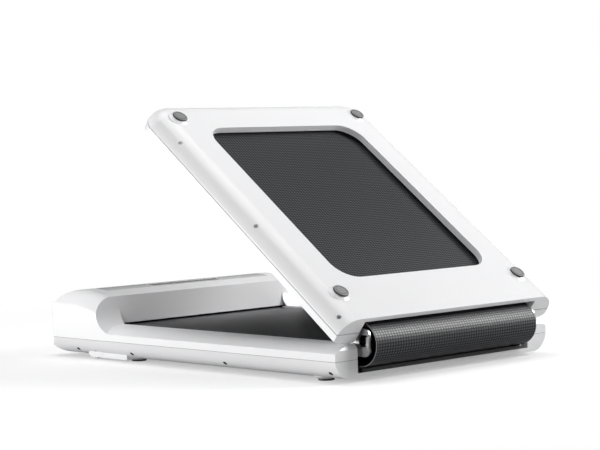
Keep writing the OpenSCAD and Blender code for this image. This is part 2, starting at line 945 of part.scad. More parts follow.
module drive_roller_pulley() {
    color(dark_steel) stand()
        difference() {
            union() {
                rod(pulley_x, pulley_x + pulley_w, big_pulley_r, drive_y, roller_z);
                for (x = [pulley_x, pulley_x + pulley_w - 1])
                    rod(x, x + 1, big_pulley_r + ribbed_t, drive_y, roller_z);
            }
            rod(pulley_x - 1, pulley_x + 4, big_pulley_r - 4, drive_y, roller_z);
            rod(0, half_w, shaft_d / 2, drive_y, roller_z);
        }
    color(dark_steel) stand()
        difference() {
            rod(pulley_x, pulley_x + 5, shaft_d / 2 + 4, drive_y, roller_z);
            rod(0, half_w, shaft_d / 2, drive_y, roller_z);
        }
}

module bearing(x, y, z, seat_d) {
    difference() {
        rod(x, x + bearing_w, seat_d / 2, y, z);
        rod(x - 1, x + bearing_w + 1, shaft_d / 2 + shaft_clear, y, z);
        for (xx = [x - 1, x + bearing_w - 1])
            difference() {
                rod(xx, xx + 2, seat_d / 2 - 2.5, y, z);
                rod(xx - 1, xx + 3, shaft_d / 2 + 2.5, y, z);
            }
    }
}

module drive_roller_bearings() {
    color([0.8, 0.8, 0.82]) stand()
        both_sides() bearing(side_plate_x, drive_y, roller_z, bearing_d);
}

module drive_motor() {
    color([0.25, 0.25, 0.27]) stand()
        difference() {
            union() {
                rod(motor_x, motor_x + motor_len, motor_r, motor_y, motor_up);
                rod(motor_x - 6, motor_x, motor_r - 8, motor_y, motor_up);
                rod(motor_x + motor_len, motor_x + motor_len + 4, motor_r - 14, motor_y, motor_up);
            }
            rod(motor_x - 10, half_w, motor_shaft_r + shaft_clear, motor_y, motor_up);
            // cooling slots round the rear end bell
            for (a = [0:45:315])
                translate([motor_x - 6.1, motor_y, motor_up])
                    rotate([a, 0, 0])
                        translate([0, -2, motor_r - 18]) cube([4, 4, 6]);
        }
}

// Pressed cradle between motor and tray
module motor_cradle() {
    color(steel) stand()
        along_x(motor_x + 15, motor_x + motor_len - 15)
            difference() {
                translate([motor_y - motor_r + 2, tray_z])
                    square([2 * motor_r - 12, motor_r * 0.55]);
                translate([motor_y, motor_up]) circle(motor_r);
            }
}

module motor_shaft() {
    color(steel) stand()
        rod(motor_x - 4, pulley_x + pulley_w + 2, motor_shaft_r, motor_y, motor_up);
}

module motor_pulley() {
    color(dark_steel) stand()
        difference() {
            union() {
                rod(pulley_x, pulley_x + pulley_w, small_pulley_r, motor_y, motor_up);
                for (x = [pulley_x, pulley_x + pulley_w - 1])
                    rod(x, x + 1, small_pulley_r + ribbed_t, motor_y, motor_up);
            }
            rod(0, half_w, motor_shaft_r, motor_y, motor_up);
        }
}

// Filled outline of two circles and the strip between their outer tangents
module two_circles(r_big, r_small, dist) {
    lean = asin((r_big - r_small) / dist);
    circle(r_big);
    translate([dist, 0]) circle(r_small);
    polygon([
        [r_big * sin(lean), r_big * cos(lean)],
        [dist + r_small * sin(lean), r_small * cos(lean)],
        [dist + r_small * sin(lean), -r_small * cos(lean)],
        [r_big * sin(lean), -r_big * cos(lean)]
    ]);
}

// Ribbed belt round both pulleys
module ribbed_belt() {
    dist = sqrt(pow(motor_y - drive_y, 2) + pow(motor_up - roller_z, 2));
    tilt = atan2(motor_up - roller_z, motor_y - drive_y);
    x0 = pulley_x + (pulley_w - ribbed_w) / 2;
    color([0.1, 0.1, 0.1]) stand()
        along_x(x0, x0 + ribbed_w)
            translate([drive_y, roller_z])
                rotate(tilt)
                    difference() {
                        two_circles(big_pulley_r + ribbed_t, small_pulley_r + ribbed_t, dist);
                        two_circles(big_pulley_r + 0.3, small_pulley_r + 0.3, dist);
                    }
}

board_x = -side_plate_x + 12;
board_w = 150;
board_y = motor_y - motor_r + 6;
board_l = 52;
board_z = tray_z + 6;
pillar_d = 6;
can_d = 14;
can_h = 22;
can_pitch = 18;
coil_size = [40, 16, 14];
sink_size = [70, 44, 4];
fin_h = 20;
fin_t = 2;

// Motor controller: board on four pillars that stand on the tray
module control_board() {
    color(board_green) stand() {
        translate([board_x, board_y, board_z]) cube([board_w, board_l, board_t]);
        for (x = [pillar_d, board_w - pillar_d], y = [pillar_d, board_l - pillar_d])
            translate([board_x + x, board_y + y, tray_z])
                cylinder(h = board_z - tray_z + 0.1, d = pillar_d);
        for (i = [0:2])
            translate([board_x + board_w - can_d - i * can_pitch, board_y + can_d, board_z + board_t])
                cylinder(h = can_h, d = can_d);
        translate([board_x + board_w - 58, board_y + board_l - coil_size[1] - 4, board_z + board_t])
            cube(coil_size);
    }
}

module heat_sink() {
    fins = 8;
    color([0.7, 0.71, 0.73]) stand()
        translate([board_x + 12, board_y + 4, board_z + board_t]) {
            cube(sink_size);
            for (i = [0:fins - 1])
                translate([i * (sink_size[0] - fin_t) / (fins - 1), 0, sink_size[2] - 1])
                    cube([fin_t, sink_size[1], fin_h + 1]);
        }
}

// Inlet and switch in the motor end's face
inlet_x = inlet_side - half_w;
socket_z = -13.5;
socket_flange = 1.5;
switch_x = inlet_x + 60;

module inlet_hole() {
    translate([inlet_x - inlet_w / 2, front_len - wall - 1, socket_z - inlet_h / 2])
        cube([inlet_w, wall + 2, inlet_h]);
}

module switch_hole() {
    translate([switch_x - switch_w / 2, front_len - wall - 1, socket_z - switch_h / 2])
        cube([switch_w, wall + 2, switch_h]);
}

module mains_inlet() {
    depth = 20;
    ear = 11;
    lip = 2.5;
    color([0.12, 0.12, 0.13]) stand()
        translate([inlet_x, front_len, socket_z])
            difference() {
                union() {
                    translate([-inlet_w / 2 - ear, 0, -inlet_h / 2 - lip])
                        cube([inlet_w + 2 * ear, socket_flange, inlet_h + 2 * lip]);
                    translate([-inlet_w / 2 + 0.2, -depth, -inlet_h / 2 + 0.2])
                        cube([inlet_w - 0.4, depth + 1, inlet_h - 0.4]);
                }
                // shaped recess of the socket
                translate([0, socket_flange + 1, 0])
                    rotate([90, 0, 0])
                        linear_extrude(16)
                            polygon([[-12, -8], [12, -8], [12, 3], [7, 8], [-7, 8], [-12, 3]]);
            }
    // three contact blades
    color(steel) stand()
        for (i = [-1, 0, 1])
            translate([inlet_x + i * 7 - 1, front_len - 14.6, socket_z - 2 + (i == 0 ? 3 : 0)])
                cube([2, 11, 4]);
}

module switch_frame() {
    depth = 14;
    color([0.12, 0.12, 0.13]) stand()
        translate([switch_x, front_len, socket_z])
            difference() {
                union() {
                    translate([-switch_w / 2 - 2, 0, -switch_h / 2 - 2])
                        cube([switch_w + 4, socket_flange, switch_h + 4]);
                    translate([-switch_w / 2 + 0.2, -depth, -switch_h / 2 + 0.2])
                        cube([switch_w - 0.4, depth + 1, switch_h - 0.4]);
                }
                translate([-switch_w / 2 + 2, -depth + 2, -switch_h / 2 + 1.2])
                    cube([switch_w - 4, depth + socket_flange, switch_h - 2.4]);
                rod(-switch_w / 2, switch_w / 2, 1.5 + shaft_clear, -2, 0);
            }
}

// Rocker with its trunnions, tilted to off
module switch_rocker() {
    rocker_half = switch_w / 2 - 2.5;
    tall = switch_h / 2 - 1.8;
    color([0.18, 0.18, 0.19]) stand()
        translate([switch_x, front_len, socket_z]) {
            along_x(-rocker_half, rocker_half)
                intersection() {
                    polygon([[-7, -2.5], [-7, 2.5], [1.8, tall - 0.6], [0.2, 0], [rocker_proud, -tall + 0.8]]);
                    translate([-2, 0]) circle(tall + 2);
                }
            rod(-switch_w / 2 + 0.6, switch_w / 2 - 0.6, 1.5, -2, 0);
        }
}

module wheel() {
    x0 = wheel_x - wheel_w / 2;
    difference() {
        union() {
            rod(x0, x0 + wheel_w, wheel_r - 0.8, wheel_y, wheel_z);
            rod(x0 + 1, x0 + wheel_w - 1, wheel_r, wheel_y, wheel_z);
        }
        rod(x0 - 1, x0 + wheel_w + 1, wheel_pin_d / 2 + shaft_clear, wheel_y, wheel_z);
        // dished faces
        for (x = [x0 - 1, x0 + wheel_w - 1.5])
            difference() {
                rod(x, x + 2.5, wheel_r - 3.5, wheel_y, wheel_z);
                rod(x - 1, x + 4, wheel_pin_d / 2 + 2, wheel_y, wheel_z);
            }
    }
}

module right_wheel() {
    color(rubber_grey) stand() wheel();
}

module left_wheel() {
    color(rubber_grey) stand() mirror([1, 0, 0]) wheel();
}

module wheel_pins() {
    color(steel) stand()
        both_sides()
            rod(
                wheel_x - wheel_w / 2 - wheel_gap - wheel_wall,
                wheel_x + wheel_w / 2 + wheel_gap + wheel_wall,
                wheel_pin_d / 2, wheel_y, wheel_z
            );
}

// Hinge link: two bowed plates, four bushes and a tie rod

// Side view of a link plate: two arms round the axes, joined by a strip outside the end faces
module link_side() {
    z0 = -axis_in;
    z1 = z0 + link_len;
    corner_r = link_r + 2.5;
    corner_y = axis_in - link_bow + corner_r;
    polygon(concat(
        arc(axis_in, z1, link_r, 0, 90, 12),
        arc(corner_y, z1 + link_r - corner_r, corner_r, 90, 180, 12),
        arc(corner_y, z0 - link_r + corner_r, corner_r, 180, 270, 12),
        arc(axis_in, z0, link_r, 270, 360, 12)
    ));
}

// Opening between the arms
module link_window() {
    y0 = axis_in - link_bow + link_rim;
    y1 = axis_in - link_r - 2.5;
    z0 = -axis_in + bush_r + 0.5;
    z1 = link_len - axis_in - 1;
    translate([(y0 + y1) / 2, (z0 + z1) / 2]) rounded_rect(y1 - y0, z1 - z0, 4);
}

module hinge_links() {
    outer_y = axis_in - link_bow;
    color(steel) stand()
        both_sides()
            difference() {
                union() {
                    along_x(link_x, link_x + link_t)
                        difference() {
                            link_side();
                            link_window();
                        }
                    // rib that stiffens the outer strip
                    translate([washer_x - 0.5, outer_y, -axis_in + 3])
                        cube([bracket_t + 0.5, link_rim, link_len - 6]);
                }
                for (z = [-axis_in, link_len - axis_in]) rod(0, half_w, bush_r, axis_in, z);
            }
}

module hinge_bushes() {
    color([0.7, 0.55, 0.3]) stand()
        both_sides()
            for (z = [-axis_in, link_len - axis_in])
                difference() {
                    rod(link_x, link_x + link_t, bush_r, axis_in, z);
                    rod(0, half_w, pin_d / 2 + pin_clear, axis_in, z);
                }
}

module hinge_tie_rod() {
    color(steel) stand() rod(-link_x, link_x, tie_rod_d / 2, axis_in, link_len / 2 - axis_in);
}

// Part of a ring between two directions, as a side view
module ring_sector(r_out, r_in, a0, a1) {
    far = 2 * r_out;
    difference() {
        circle(r_out);
        circle(r_in);
        polygon([
            [0, 0], [far * cos(a0), far * sin(a0)], [far * cos(a0 - 60), far * sin(a0 - 60)],
            [far * cos(a0 - 120), far * sin(a0 - 120)], [far * cos(a1), far * sin(a1)]
        ]);
    }
}

// Returning belt where it rolls round the outside of the open hinge
module belt_loop() {
    color(belt_black) stand()
        along_x(-belt_w / 2, belt_w / 2)
            translate([loop_y, loop_z])
                ring_sector(loop_r, loop_r - belt_t, 90 + open_angle, 270);
}

// Walking run where it turns back between the decks
module belt_fold() {
    color(belt_black) stand()
        along_x(-belt_w / 2, belt_w / 2)
            translate([fold_y, fold_z])
                ring_sector(fold_r + belt_t, fold_r, 90 + open_angle, 270);
}

// Rear half

// Upper moulding of the rear half: both rails and the tail cap
module rear_upper_shell() {
    channel_end = tail_y + 8;
    color(white_shell) stand() at_rear() difference() {
        union() {
            difference() {
                rear_form(0);
                rear_form(wall);
            }
            rail_skirts(channel_end);
        }
        below_seam();
        belt_channel(channel_end);
        both_sides() rear_bolt_hole();
    }
}

// Hole in the tail for the belt tension key
module rear_bolt_hole() {
    translate([tube_x + tube_w / 2, rear_len + 5, roller_z])
        rotate([90, 0, 0]) cylinder(h = 20, d = 8);
}

module rear_lower_cover() {
    color(white_shell) stand() at_rear() difference() {
        union() {
            difference() {
                intersection() {
                    rear_form(0);
                    below_seam();
                }
                rear_form(wall);
            }
            mouth_frame();
            cover_bosses(rear_foot_ys, rear_screw_ys);
            window_flange(rear_window_end);
        }
        mouth_cut();
        window_cut(rear_window_end);
        screw_bores(rear_screw_ys);
    }
}

module rear_feet() {
    color(rubber_grey) stand() at_rear() feet(rear_foot_ys);
}

module rear_cover_screws() {
    color(steel) stand() at_rear() cover_screws(rear_screw_ys);
}

// Side tubes with slots for the tail axle and end plates for its bolts
module rear_frame() {
    slot_l = 16;
    color(dark_steel) stand() at_rear() difference() {
        union() {
            side_tubes(rear_tube_end);
            cross_tubes(rear_cross);
            both_sides()
                translate([tube_x, rear_tube_end - 3, tube_low]) cube([tube_w, 3, tube_h]);
        }
        both_sides() {
            along_x(tube_x - 1, tube_x + tube_w - tube_wall)
                translate([tail_y, roller_z])
                    union() {
                        square([slot_l - shaft_d, shaft_d + 2 * shaft_clear], center = true);
                        for (s = [-1, 1])
                            translate([s * (slot_l - shaft_d) / 2, 0]) circle(shaft_d / 2 + shaft_clear);
                    }
            translate([tube_x + tube_w / 2, rear_tube_end + 1, roller_z])
                rotate([90, 0, 0]) cylinder(h = 5, d = 8.4);
        }
        screw_holes(rear_screw_ys);
    }
}

module rear_deck() {
    color([0.5, 0.36, 0.24]) stand() at_rear() deck(rear_deck_end);
}

module rear_deck_mounts() {
    color(rubber_grey) stand() at_rear() deck_mounts(rear_cross);
}

module rear_belt() {
    color(belt_black) stand() at_rear()
        along_x(-belt_w / 2, belt_w / 2) belt_side(fold_rear_y, loop_rear_y, tail_y);
}

module rear_hinge_brackets() {
    color(steel) stand() at_rear() hinge_brackets();
}

module rear_hinge_pins() {
    color([0.75, 0.76, 0.78]) stand() at_rear() hinge_pins();
}

module rear_hinge_washers() {
    color([0.35, 0.3, 0.2]) stand() at_rear() hinge_washers();
}

// Tail roller: a tube that turns on bearings round a fixed axle
module tail_roller() {
    color(steel) stand() at_rear()
        difference() {
            rod(-roller_half, roller_half, roller_r - 0.3, tail_y, roller_z);
            rod(-roller_half - 1, roller_half + 1, bearing_d / 2, tail_y, roller_z);
        }
}

module tail_roller_bearings() {
    color([0.8, 0.8, 0.82]) stand() at_rear()
        both_sides() bearing(roller_half - bearing_w, tail_y, roller_z, bearing_d);
}

module tail_axle() {
    axle_x = tube_x + tube_w - tube_wall - 1;
    color(steel) stand() at_rear()
        difference() {
            rod(-axle_x, axle_x, shaft_d / 2, tail_y, roller_z);
            both_sides()
                translate([tube_x + tube_w / 2, rear_tube_end, roller_z])
                    rotate([90, 0, 0]) cylinder(h = 2 * tail_in, d = bolt_d);
        }
}

// Bolts that draw the tail axle back and set the belt's tension
module tension_bolts() {
    color([0.75, 0.76, 0.78]) stand() at_rear()
        both_sides()
            translate([tube_x + tube_w / 2, 0, roller_z])
                rotate([-90, 0, 0]) {
                    translate([0, 0, tail_y]) cylinder(h = rear_tube_end - tail_y, d = bolt_d - 0.1);
                    difference() {
                        translate([0, 0, rear_tube_end]) cylinder(h = bolt_head_h, d = 2 * bolt_d);
                        translate([0, 0, rear_tube_end + bolt_head_h / 3])
                            cylinder(h = bolt_head_h, d = bolt_d, $fn = 6);
                    }
                }
}

front_upper_shell();
front_lower_cover();
front_frame();
front_deck();
front_deck_mounts();
front_feet();
front_cover_screws();
front_belt();
front_belt_guide();
front_hinge_brackets();
front_hinge_pins();
front_hinge_washers();
top_strip();
display_window();
display_board();
drive_roller();
drive_roller_pulley();
drive_roller_bearings();
drive_motor();
motor_cradle();
motor_shaft();
motor_pulley();
ribbed_belt();
control_board();
heat_sink();
mains_inlet();
switch_frame();
switch_rocker();
left_wheel();
right_wheel();
wheel_pins();
hinge_links();
hinge_bushes();
hinge_tie_rod();
belt_loop();
belt_fold();
rear_upper_shell();
rear_lower_cover();
rear_frame();
rear_deck();
rear_deck_mounts();
rear_feet();
rear_cover_screws();
rear_belt();
rear_hinge_brackets();
rear_hinge_pins();
rear_hinge_washers();
tail_roller();
tail_roller_bearings();
tail_axle();
tension_bolts();
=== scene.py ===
import json
import math
import bpy
import bmesh
from mathutils import Matrix, Vector


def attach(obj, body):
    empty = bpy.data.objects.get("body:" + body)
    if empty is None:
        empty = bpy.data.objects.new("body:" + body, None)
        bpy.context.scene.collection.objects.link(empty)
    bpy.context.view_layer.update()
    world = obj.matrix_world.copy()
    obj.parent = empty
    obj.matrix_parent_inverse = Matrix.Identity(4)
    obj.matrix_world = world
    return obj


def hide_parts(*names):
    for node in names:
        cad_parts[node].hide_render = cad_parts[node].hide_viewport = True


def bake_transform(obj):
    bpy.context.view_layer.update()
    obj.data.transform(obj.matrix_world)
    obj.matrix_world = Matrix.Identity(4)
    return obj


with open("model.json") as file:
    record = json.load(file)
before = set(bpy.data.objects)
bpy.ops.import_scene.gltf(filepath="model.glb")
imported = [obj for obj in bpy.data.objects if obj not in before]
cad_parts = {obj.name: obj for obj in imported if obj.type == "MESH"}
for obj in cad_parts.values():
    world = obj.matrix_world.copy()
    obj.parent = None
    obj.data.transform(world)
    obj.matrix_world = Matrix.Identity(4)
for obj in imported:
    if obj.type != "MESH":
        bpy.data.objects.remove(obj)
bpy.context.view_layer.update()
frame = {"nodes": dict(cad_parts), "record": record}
nodes = frame["nodes"]


# Where things are, in metres: the front half lies along +Y, the rear half leans over it
pad = {
    "middle": 0.382965,
    "railTop": 0.0645,
    "open": math.radians(37),
    "axisIn": 0.013,
    "linkLength": 0.028,
    "seam": -0.027,
}


def frontPoint(x, y, z):
    # A point given from the hinge end and the rail top of the front half
    return Vector((x, y - pad["middle"], z + pad["railTop"]))


def rearMatrix():
    # Turns the rear half, which is drawn lying like the front half, over the upper hinge axis
    lay = Matrix.Translation((0, pad["axisIn"], pad["linkLength"] - pad["axisIn"]))
    turn = Matrix.Rotation(pad["open"], 4, "X")
    flip = Matrix.Scale(-1, 4, (0, 0, 1))
    back = Matrix.Translation((0, -pad["axisIn"], pad["axisIn"]))
    return frontPlace @ lay @ turn @ flip @ back


frontPlace = Matrix.Translation((0, -pad["middle"], pad["railTop"]))
rearPlace = rearMatrix()


# Shader node groups that several materials share


def newGroup(name, inputs, outputs):
    group = bpy.data.node_groups.new(name, "ShaderNodeTree")
    for socketName, value in inputs:
        socket = group.interface.new_socket(
            socketName, in_out="INPUT", socket_type="NodeSocketFloat"
        )
        socket.default_value = value
    for socketName, kind in outputs:
        group.interface.new_socket(socketName, in_out="OUTPUT", socket_type=kind)
    start = group.nodes.new("NodeGroupInput")
    end = group.nodes.new("NodeGroupOutput")
    return group, start, end


def addNode(tree, kind, **settings):
    node = tree.nodes.new(kind)
    for key, value in settings.items():
        setattr(node, key, value)
    return node


def mathNode(tree, operation, *values):
    node = addNode(tree, "ShaderNodeMath", operation=operation)
    for index, value in enumerate(values):
        if isinstance(value, (int, float)):
            node.inputs[index].default_value = value
        else:
            tree.links.new(value, node.inputs[index])
    return node.outputs[0]


def linkBump(group, start, end, height, distance):
    # Puts a height out as the group's normal, as strong as the group's Depth says
    bump = addNode(group, "ShaderNodeBump")
    bump.inputs["Distance"].default_value = distance
    group.links.new(start.outputs["Depth"], bump.inputs["Strength"])
    group.links.new(height, bump.inputs["Height"])
    group.links.new(bump.outputs["Normal"], end.inputs["Normal"])


grainSettings = {"fineDetail": 3.0, "broadScale": 9.0, "broadDetail": 2.0, "bump": 0.0002}


def buildMouldingGroup():
    # Fine texture of moulded plastic: a normal, and a mask of faint unevenness
    group, start, end = newGroup(
        "mouldingGrain",
        [("Grain Scale", 900.0), ("Depth", 0.1)],
        [("Normal", "NodeSocketVector"), ("Unevenness", "NodeSocketFloat")],
    )
    place = addNode(group, "ShaderNodeTexCoord")
    fine = addNode(group, "ShaderNodeTexNoise")
    fine.inputs["Detail"].default_value = grainSettings["fineDetail"]
    broad = addNode(group, "ShaderNodeTexNoise")
    broad.inputs["Scale"].default_value = grainSettings["broadScale"]
    broad.inputs["Detail"].default_value = grainSettings["broadDetail"]
    group.links.new(place.outputs["Object"], fine.inputs["Vector"])
    group.links.new(place.outputs["Object"], broad.inputs["Vector"])
    group.links.new(start.outputs["Grain Scale"], fine.inputs["Scale"])
    group.links.new(broad.outputs["Fac"], end.inputs["Unevenness"])
    linkBump(group, start, end, fine.outputs["Fac"], grainSettings["bump"])
    return group


weaveSettings = {"fullness": 0.6, "bump": 0.0006}


def buildWeaveGroup():
    # Raised squares of a running belt, laid out in the belt's own UV metres
    group, start, end = newGroup(
        "beltWeave",
        [("Pitch Across", 0.006), ("Pitch Along", 0.006), ("Depth", 0.6)],
        [("Normal", "NodeSocketVector"), ("Raised", "NodeSocketFloat")],
    )
    place = addNode(group, "ShaderNodeUVMap", uv_map="run")
    parts = addNode(group, "ShaderNodeSeparateXYZ")
    group.links.new(place.outputs["UV"], parts.inputs["Vector"])
    waves = []
    for axis, pitch in (("X", "Pitch Across"), ("Y", "Pitch Along")):
        turn = mathNode(group, "DIVIDE", 2 * math.pi, start.outputs[pitch])
        wave = mathNode(group, "SINE", mathNode(group, "MULTIPLY", parts.outputs[axis], turn))
        waves.append(mathNode(group, "MULTIPLY_ADD", wave, 0.5, 0.5))
    product = mathNode(group, "MULTIPLY", *waves)
    raised = mathNode(group, "POWER", product, weaveSettings["fullness"])
    group.links.new(raised, end.inputs["Raised"])
    linkBump(group, start, end, raised, weaveSettings["bump"])
    return group


streakSettings = {"detail": 4.0, "stretch": (0.08, 1.0, 1.0), "bump": 0.0002}


def buildStreakGroup():
    # Fine streaks along X for turned and drawn metal
    group, start, end = newGroup(
        "drawnMetal",
        [("Streak Scale", 260.0), ("Depth", 0.12)],
        [("Normal", "NodeSocketVector"), ("Streaks", "NodeSocketFloat")],
    )
    place = addNode(group, "ShaderNodeTexCoord")
    stretch = addNode(group, "ShaderNodeMapping")
    stretch.inputs["Scale"].default_value = streakSettings["stretch"]
    noise = addNode(group, "ShaderNodeTexNoise")
    noise.inputs["Detail"].default_value = streakSettings["detail"]
    group.links.new(place.outputs["Object"], stretch.inputs["Vector"])
    group.links.new(stretch.outputs["Vector"], noise.inputs["Vector"])
    group.links.new(start.outputs["Streak Scale"], noise.inputs["Scale"])
    group.links.new(noise.outputs["Fac"], end.inputs["Streaks"])
    linkBump(group, start, end, noise.outputs["Fac"], streakSettings["bump"])
    return group


mouldingGrain = buildMouldingGroup()
beltWeave = buildWeaveGroup()
drawnMetal = buildStreakGroup()


def newTree(name):
    material = bpy.data.materials.new(name)
    material.use_nodes = True
    tree = material.node_tree
    tree.nodes.clear()
    return material, tree, addNode(tree, "ShaderNodeOutputMaterial")


def newMaterial(name):
    material, tree, output = newTree(name)
    shader = addNode(tree, "ShaderNodeBsdfPrincipled")
    tree.links.new(shader.outputs["BSDF"], output.inputs["Surface"])
    return material, tree, shader


def addGroup(tree, group, **values):
    node = addNode(tree, "ShaderNodeGroup", node_tree=group)
    for key, value in values.items():
        node.inputs[key.replace("_", " ")].default_value = value
    return node


def linkGroup(tree, shader, node, mask, low, high):
    # The group's mask mixes two colours, and its normal goes to the shader
    mix = addNode(tree, "ShaderNodeMix", data_type="RGBA")
    mix.inputs["A"].default_value = (*low, 1)
    mix.inputs["B"].default_value = (*high, 1)
    tree.links.new(node.outputs[mask], mix.inputs["Factor"])
    tree.links.new(mix.outputs["Result"], shader.inputs["Base Color"])
    tree.links.new(node.outputs["Normal"], shader.inputs["Normal"])


def mouldedPlastic(name, low, high, roughness, scale=900.0, depth=0.1, coat=0.0):
    material, tree, shader = newMaterial(name)
    grain = addGroup(tree, mouldingGrain, Grain_Scale=scale, Depth=depth)
    linkGroup(tree, shader, grain, "Unevenness", low, high)
    shader.inputs["Roughness"].default_value = roughness
    shader.inputs["Coat Weight"].default_value = coat
    shader.inputs["Coat Roughness"].default_value = 0.12
    return material


def metal(name, low, high, roughness, scale=260.0, depth=0.12):
    material, tree, shader = newMaterial(name)
    streaks = addGroup(tree, drawnMetal, Streak_Scale=scale, Depth=depth)
    linkGroup(tree, shader, streaks, "Streaks", low, high)
    shader.inputs["Metallic"].default_value = 1.0
    shader.inputs["Roughness"].default_value = roughness
    return material


# The belt's colours: low for the weave's gaps as painted shade, high for its raised squares as
# painted light
beltLook = {
    "low": (0.0, 0.0, 0.0),
    "high": (0.085, 0.087, 0.095),
    "roughness": 0.53,
    "polish": 0.15,
    "specular": 0.2,
    "across": 0.0064,
    "along": 0.0050,
    "depth": 0.3,
}


def beltMaterial(name):
    # Dark rubber, a little smoother on its raised squares than in the gaps, with black gaps as
    # painted shade and lighter raised squares as painted light
    material, tree, shader = newMaterial(name)
    weave = addGroup(
        tree, beltWeave,
        Pitch_Across=beltLook["across"], Pitch_Along=beltLook["along"], Depth=beltLook["depth"],
    )
    raised = weave.outputs["Raised"]
    linkGroup(tree, shader, weave, "Raised", beltLook["low"], beltLook["high"])
    dull = mathNode(tree, "MULTIPLY_ADD", raised, -beltLook["polish"], beltLook["roughness"])
    tree.links.new(dull, shader.inputs["Roughness"])
    shader.inputs["Specular IOR Level"].default_value = beltLook["specular"]
    return material


def grey(value):
    return (value, value, value * 1.01)


look = {
    "white_shell": mouldedPlastic("whiteShell", grey(0.85), grey(0.87), 0.32, depth=0.05),
    "gloss_white": mouldedPlastic(
        "glossWhite", grey(0.88), grey(0.89), 0.12, depth=0.02, coat=0.4
    ),
    "smoked": mouldedPlastic(
        "smokedWindow", grey(0.42), grey(0.45), 0.08, depth=0.0, coat=0.6
    ),
    "belt": beltMaterial("beltCover"),
    "rubber": mouldedPlastic("footRubber", grey(0.045), grey(0.06), 0.55, depth=0.3),
    "wheel_rubber": mouldedPlastic("wheelRubber", grey(0.03), grey(0.04), 0.5, depth=0.2),
    "dark_paint": mouldedPlastic(
        "darkPaint", grey(0.02), grey(0.028), 0.4, scale=400.0, depth=0.2
    ),
    "deck_board": mouldedPlastic(
        "deckBoard", (0.17, 0.1, 0.055), (0.22, 0.13, 0.07), 0.5, scale=60.0, depth=0.1
    ),
    "bright_steel": metal("brightSteel", grey(0.5), grey(0.66), 0.28),
    "bronze": metal("bronze", (0.42, 0.28, 0.12), (0.5, 0.34, 0.16), 0.4),
    "circuit": mouldedPlastic(
        "circuitBoard", (0.01, 0.09, 0.035), (0.015, 0.12, 0.05), 0.4, depth=0.05
    ),
    "heat_sink_metal": metal("heatSinkMetal", grey(0.6), grey(0.7), 0.4),
    "pulley_metal": metal("pulleyMetal", grey(0.25), grey(0.3), 0.35),
    "motor_paint": mouldedPlastic("motorPaint", grey(0.04), grey(0.05), 0.35, depth=0.1),
    "black_plastic": mouldedPlastic("blackPlastic", grey(0.012), grey(0.018), 0.4, depth=0.2),
}
beltEdge = mouldedPlastic("beltEdge", grey(0.25), grey(0.32), 0.7, scale=2500.0, depth=0.3)
# Painted light: a lighter rubber for the feet's soles, the faces turned up on the folded half
footSolePaintedLight = mouldedPlastic("footSolePaintedLight", grey(0.19), grey(0.22), 0.6, depth=0.25)
# Painted shade: a grey for the faces of the seam groove
seamShade = mouldedPlastic("seamShade", grey(0.4), grey(0.45), 0.6, depth=0.0)
# Painted shade: a near-black for the walls of the screw recesses
recessShade = mouldedPlastic("recessShade", grey(0.03), grey(0.04), 0.6, depth=0.0)
# Painted shade: near-black heads for the front cover's steel screws, so that their holes read
# dark
screwHeadShade = metal("screwHeadShade", grey(0.02), grey(0.04), 0.4)

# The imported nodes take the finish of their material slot
for entry in frame["record"]["subparts"]:
    mesh = nodes[entry["node"]].data
    mesh.materials.clear()
    mesh.materials.append(look[entry["material_slot"]])
print("materials done")


def meshObject(name, bm, materials, smoothAngle=30.0):
    mesh = bpy.data.meshes.new(name)
    bm.normal_update()
    bm.to_mesh(mesh)
    bm.free()
    for material in materials:
        mesh.materials.append(material)
    mesh.polygons.foreach_set("use_smooth", [True] * len(mesh.polygons))
    mesh.set_sharp_from_angle(angle=math.radians(smoothAngle))
    obj = bpy.data.objects.new(name, mesh)
    bpy.context.scene.collection.objects.link(obj)
    return obj


# Mouldings and metal parts: their packed forms, cleaned up and with rounded edges

rounding = {
    "weld": 0.000004,
    "flatAngle": math.radians(0.6),
    "sharpAngle": math.radians(15.0),
    "segments": 2,
    "normalWeight": 80,
}
materialIndex = {"seam": 1, "recess": 2}


def bevelEdges(bm, edges, width, segments):
    return bmesh.ops.bevel(
        bm, geom=edges, offset=width, offset_type="OFFSET", segments=segments, profile=0.5,
        affect="EDGES", clamp_overlap=True, material=-1,
    )["faces"]


seamCut = {"width": 0.0009, "tolerance": 0.00002, "upright": 0.7, "middle": 0.35}


def cutSeam(bm, place):
    # Opens the parting line round the outside, and gives its groove a grey material as painted
    # shade
    level = place @ Vector((0, 0, pad["seam"]))
    up = (place.to_3x3() @ Vector((0, 0, 1))).normalized()
    middle = place @ Vector((0, seamCut["middle"], pad["seam"]))
    rim = []
    for edge in bm.edges:
        if any(abs((vert.co - level).dot(up)) > seamCut["tolerance"] for vert in edge.verts):
            continue
        out = (edge.verts[0].co + edge.verts[1].co) / 2 - middle
        if any(
            abs(face.normal.dot(up)) < seamCut["upright"] and face.normal.dot(out) > 0
            for face in edge.link_faces
        ):
            rim.append(edge)
    for face in bevelEdges(bm, rim, seamCut["width"], 1):
        face.material_index = materialIndex["seam"]
    bm.normal_update()


screwHole = {
    "x": 0.2626,
    "z": -0.0474,
    "angle": math.radians(46),
    "radius": 0.0046,
    "reach": 0.03,
    "stations": (0.022, 0.287, 0.549, 0.713),
}


def shadeHoles(bm, place):
    # Gives the walls of the cover screws' recesses a near-black material as painted shade in
    # the holes
    for side in (-1, 1):
        axis = place.to_3x3() @ Vector((
            -side * math.cos(screwHole["angle"]), 0, math.sin(screwHole["angle"]),
        ))
        for station in screwHole["stations"]:
            mouth = place @ Vector((side * screwHole["x"], station, screwHole["z"]))
            for face in bm.faces:
                if (face.verts[0].co - mouth).length > screwHole["reach"]:
                    continue
                away = max(((vert.co - mouth).cross(axis)).length for vert in face.verts)
                if away < screwHole["radius"]:
                    face.material_index = materialIndex["recess"]


